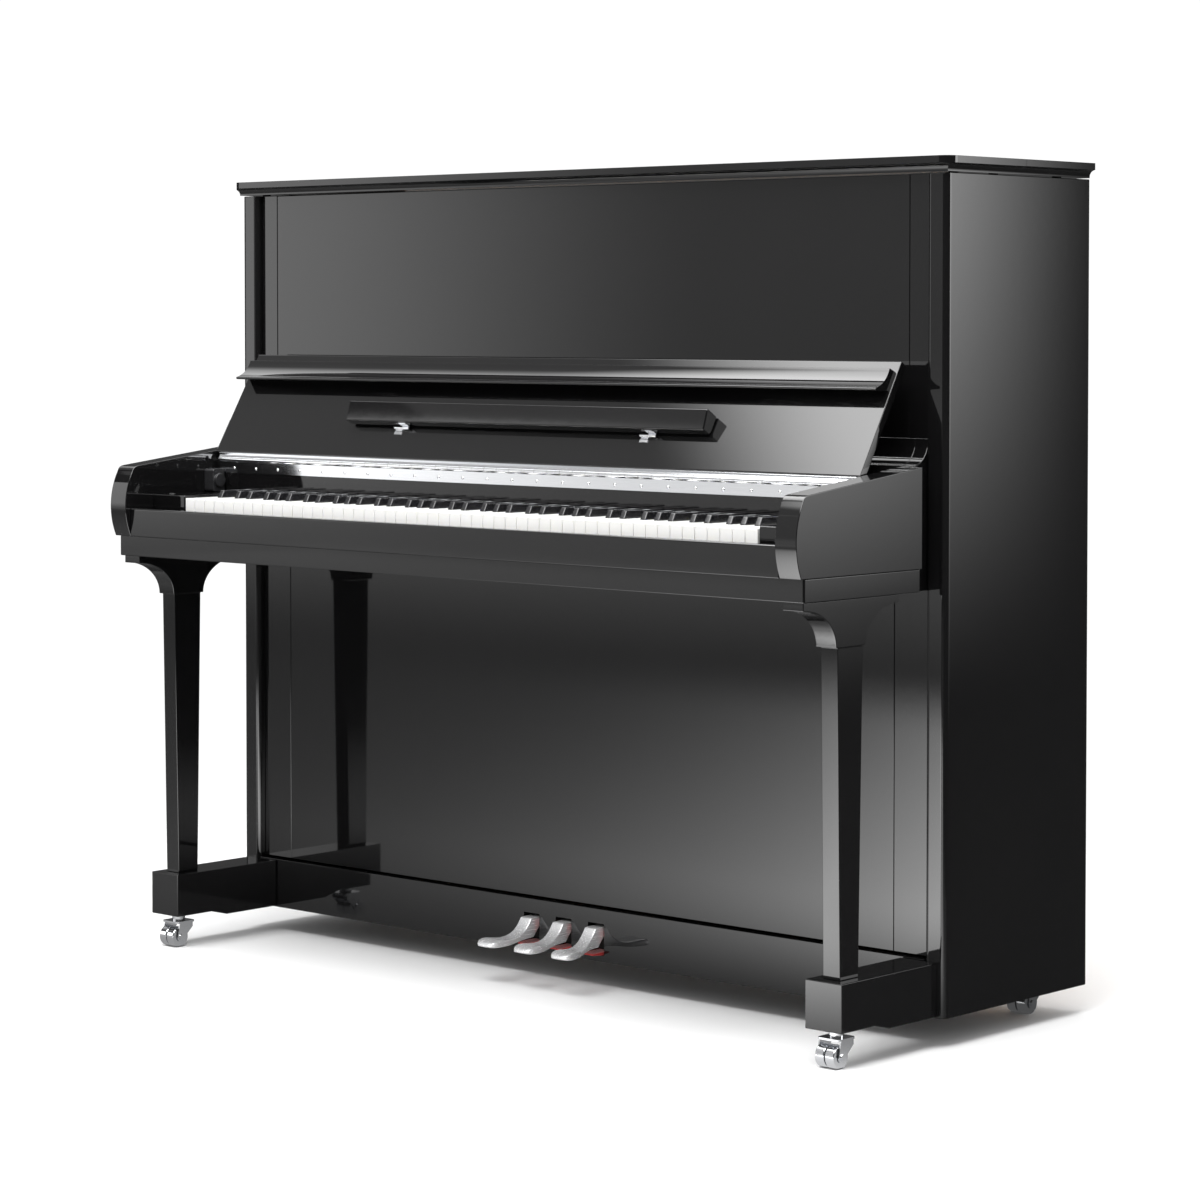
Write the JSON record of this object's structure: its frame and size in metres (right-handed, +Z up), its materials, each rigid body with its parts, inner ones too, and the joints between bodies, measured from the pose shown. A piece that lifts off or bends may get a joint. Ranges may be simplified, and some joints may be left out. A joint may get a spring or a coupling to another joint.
{
  "type": "upright piano",
  "caption": "Upright piano in polished black with front legs on casters, an opening fallboard, folding lid, music shelf, keys, hammers, strings and pedals.",
  "frame": {"origin": "on the floor, below the middle of the overall box", "axes": "+X along the keyboard towards the treble, -Y towards the player, +Z up"},
  "size_m": [1.535, 0.674, 1.2956],
  "materials": {
    "black_polyester": "polished black polyester lacquer on board",
    "frame_timber": "planed softwood and plywood",
    "chrome": "polished nickel chrome",
    "caster_chrome": "polished chrome",
    "black_rubber": "soft rubber",
    "damper_black": "black moulded plastic and blackened steel",
    "pedal_metal": "satin nickel",
    "dowel_wood": "beech dowel",
    "bracket_steel": "painted steel",
    "red_felt": "pressed wool felt",
    "ivory_plastic": "gloss white key tops",
    "ebony_plastic": "satin black key tops",
    "hammer_felt": "dense white felt on wood",
    "spruce": "varnished spruce",
    "plate_iron": "bronze-painted cast iron",
    "string_steel": "drawn steel wire"
  },
  "bodies": {
    "case": {"action_frame": "bracket_steel", "arm_left": "black_polyester", "arm_right": "black_polyester", "back_frame": "frame_timber", "bottom_board": "frame_timber", "bumpers": "black_rubber", "case_stiles": "black_polyester", "cove_rail": "black_polyester", "hammers": "hammer_felt", "hinge_leaves_fixed": "chrome", "iron_plate": "plate_iron", "key_blocks": "black_polyester", "key_frame": "frame_timber", "key_slip": "black_polyester", "keybed": "frame_timber", "keybed_moulding": "black_polyester", "leg_left": "black_polyester", "leg_right": "black_polyester", "lid_rear": "black_polyester", "nameboard_strip": "black_polyester", "pedal_brackets": "bracket_steel", "pedal_felts": "red_felt", "plinth_rail": "black_polyester", "side_panel_left": "black_polyester", "side_panel_right": "black_polyester", "soft_close_damper": "damper_black", "soundboard": "spruce", "strings": "string_steel", "toe_block_left": "black_polyester", "toe_block_right": "black_polyester", "tuning_pins": "string_steel", "upper_panel": "black_polyester"},
    "lid_flap": {"lid_front": "black_polyester", "lid_hinge_moving": "chrome"},
    "fallboard_leaf": {"fallboard": "black_polyester", "fallboard_lip": "black_polyester", "fallboard_hinge_moving": "chrome"},
    "shelf": {"music_shelf": "black_polyester", "shelf_knuckles": "chrome"},
    "lower_door": {"lower_panel": "black_polyester"},
    "pedal_lever_left": {"pedal_left": "pedal_metal"},
    "trap_dowel_left": {"trap_rod_left": "dowel_wood"},
    "pedal_lever_middle": {"pedal_middle": "pedal_metal"},
    "trap_dowel_middle": {"trap_rod_middle": "dowel_wood"},
    "pedal_lever_right": {"pedal_right": "pedal_metal"},
    "trap_dowel_right": {"trap_rod_right": "dowel_wood"},
    "whites_bass": {"white_keys_bass": "ivory_plastic"},
    "whites_treble": {"white_keys_treble": "ivory_plastic"},
    "key_c": {"middle_c_key": "ivory_plastic"},
    "blacks_bass": {"black_keys_bass": "ebony_plastic"},
    "blacks_treble": {"black_keys_treble": "ebony_plastic"},
    "hammer_c": {"middle_c_hammer": "hammer_felt"},
    "swivel_front_left": {"caster_fork_front_left": "caster_chrome"},
    "wheels_front_left": {"caster_wheels_front_left": "caster_chrome"},
    "swivel_front_right": {"caster_fork_front_right": "caster_chrome"},
    "wheels_front_right": {"caster_wheels_front_right": "caster_chrome"},
    "swivel_rear_left": {"caster_fork_rear_left": "caster_chrome"},
    "wheels_rear_left": {"caster_wheels_rear_left": "caster_chrome"},
    "swivel_rear_right": {"caster_fork_rear_right": "caster_chrome"},
    "wheels_rear_right": {"caster_wheels_rear_right": "caster_chrome"}
  },
  "joints": [
    {"name": "lid_fold", "type": "hinge", "parent": "case", "child": "lid_flap", "pos_m": [0, 0.1555, 1.293], "axis": [-1, 0, 0], "range_deg": [0, 175]},
    {"name": "fallboard_swing", "type": "hinge", "parent": "case", "child": "fallboard_leaf", "pos_m": [0, -0.141, 0.8212], "axis": [1, 0, 0], "range_deg": [0, 128.2]},
    {"name": "music_shelf_fold", "type": "hinge", "parent": "fallboard_leaf", "child": "shelf", "pos_m": [0, -0.11619, 0.88151], "axis": [-1, 0, 0], "range_deg": [-80, 0]},
    {"name": "lower_panel_tilt", "type": "hinge", "parent": "case", "child": "lower_door", "pos_m": [0, -0.0075, 0.129], "axis": [1, 0, 0], "range_deg": [0, 25]},
    {"name": "pedal_press_left", "type": "hinge", "parent": "case", "child": "pedal_lever_left", "pos_m": [-0.07, 0.038, 0.091], "axis": [1, 0, 0], "range_deg": [0, 5.5], "stiffness_Nm_per_rad": 30, "springref_deg": -5.16},
    {"name": "trap_lift_left", "type": "slide", "parent": "case", "child": "trap_dowel_left", "axis": [0, 0, 1], "range_m": [0, 0.0046]},
    {"name": "pedal_press_middle", "type": "hinge", "parent": "case", "child": "pedal_lever_middle", "pos_m": [0, 0.038, 0.091], "axis": [1, 0, 0], "range_deg": [0, 5.5], "stiffness_Nm_per_rad": 30, "springref_deg": -5.16},
    {"name": "trap_lift_middle", "type": "slide", "parent": "case", "child": "trap_dowel_middle", "axis": [0, 0, 1], "range_m": [0, 0.0046]},
    {"name": "pedal_press_right", "type": "hinge", "parent": "case", "child": "pedal_lever_right", "pos_m": [0.07, 0.038, 0.091], "axis": [1, 0, 0], "range_deg": [0, 5.5], "stiffness_Nm_per_rad": 30, "springref_deg": -5.16},
    {"name": "trap_lift_right", "type": "slide", "parent": "case", "child": "trap_dowel_right", "axis": [0, 0, 1], "range_m": [0, 0.0046]},
    {"name": "white_keys_bass_press", "type": "hinge", "parent": "case", "child": "whites_bass", "pos_m": [0, -0.0424, 0.745], "axis": [1, 0, 0], "range_deg": [0, 2.45], "stiffness_Nm_per_rad": 160, "springref_deg": -2.86},
    {"name": "white_keys_treble_press", "type": "hinge", "parent": "case", "child": "whites_treble", "pos_m": [0, -0.0424, 0.745], "axis": [1, 0, 0], "range_deg": [0, 2.45], "stiffness_Nm_per_rad": 190, "springref_deg": -2.86},
    {"name": "middle_c_press", "type": "hinge", "parent": "case", "child": "key_c", "pos_m": [0, -0.0424, 0.745], "axis": [1, 0, 0], "range_deg": [0, 2.45], "stiffness_Nm_per_rad": 8, "springref_deg": -2.86},
    {"name": "black_keys_bass_press", "type": "hinge", "parent": "case", "child": "blacks_bass", "pos_m": [0, -0.0424, 0.745], "axis": [1, 0, 0], "range_deg": [0, 2.45], "stiffness_Nm_per_rad": 90, "springref_deg": -2.86},
    {"name": "black_keys_treble_press", "type": "hinge", "parent": "case", "child": "blacks_treble", "pos_m": [0, -0.0424, 0.745], "axis": [1, 0, 0], "range_deg": [0, 2.45], "stiffness_Nm_per_rad": 110, "springref_deg": -2.86},
    {"name": "middle_c_hammer_swing", "type": "hinge", "parent": "case", "child": "hammer_c", "pos_m": [-0.06276, 0.078, 0.95466], "axis": [-1, 0, 0], "range_deg": [0, 19.7]},
    {"name": "caster_swivel_front_left", "type": "hinge", "parent": "case", "child": "swivel_front_left", "pos_m": [-0.7076, -0.2139, 0.043], "axis": [0, 0, 1], "continuous": true},
    {"name": "caster_roll_front_left", "type": "hinge", "parent": "swivel_front_left", "child": "wheels_front_left", "pos_m": [-0.7076, -0.2249, 0.017], "axis": [1, 0, 0], "continuous": true},
    {"name": "caster_swivel_front_right", "type": "hinge", "parent": "case", "child": "swivel_front_right", "pos_m": [0.7076, -0.2139, 0.043], "axis": [0, 0, 1], "continuous": true},
    {"name": "caster_roll_front_right", "type": "hinge", "parent": "swivel_front_right", "child": "wheels_front_right", "pos_m": [0.7076, -0.2249, 0.017], "axis": [1, 0, 0], "continuous": true},
    {"name": "caster_swivel_rear_left", "type": "hinge", "parent": "case", "child": "swivel_rear_left", "pos_m": [-0.68, 0.287, 0.043], "axis": [0, 0, 1], "continuous": true},
    {"name": "caster_roll_rear_left", "type": "hinge", "parent": "swivel_rear_left", "child": "wheels_rear_left", "pos_m": [-0.68, 0.276, 0.017], "axis": [1, 0, 0], "continuous": true},
    {"name": "caster_swivel_rear_right", "type": "hinge", "parent": "case", "child": "swivel_rear_right", "pos_m": [0.68, 0.287, 0.043], "axis": [0, 0, 1], "continuous": true},
    {"name": "caster_roll_rear_right", "type": "hinge", "parent": "swivel_rear_right", "child": "wheels_rear_right", "pos_m": [0.68, 0.276, 0.017], "axis": [1, 0, 0], "continuous": true}
  ],
  "couplings": [
    {"joint": "trap_lift_left", "follows": "pedal_press_left", "m_per_rad": 0.047},
    {"joint": "trap_lift_middle", "follows": "pedal_press_middle", "m_per_rad": 0.047},
    {"joint": "trap_lift_right", "follows": "pedal_press_right", "m_per_rad": 0.047},
    {"joint": "middle_c_hammer_swing", "follows": "middle_c_press", "ratio": 8}
  ]
}
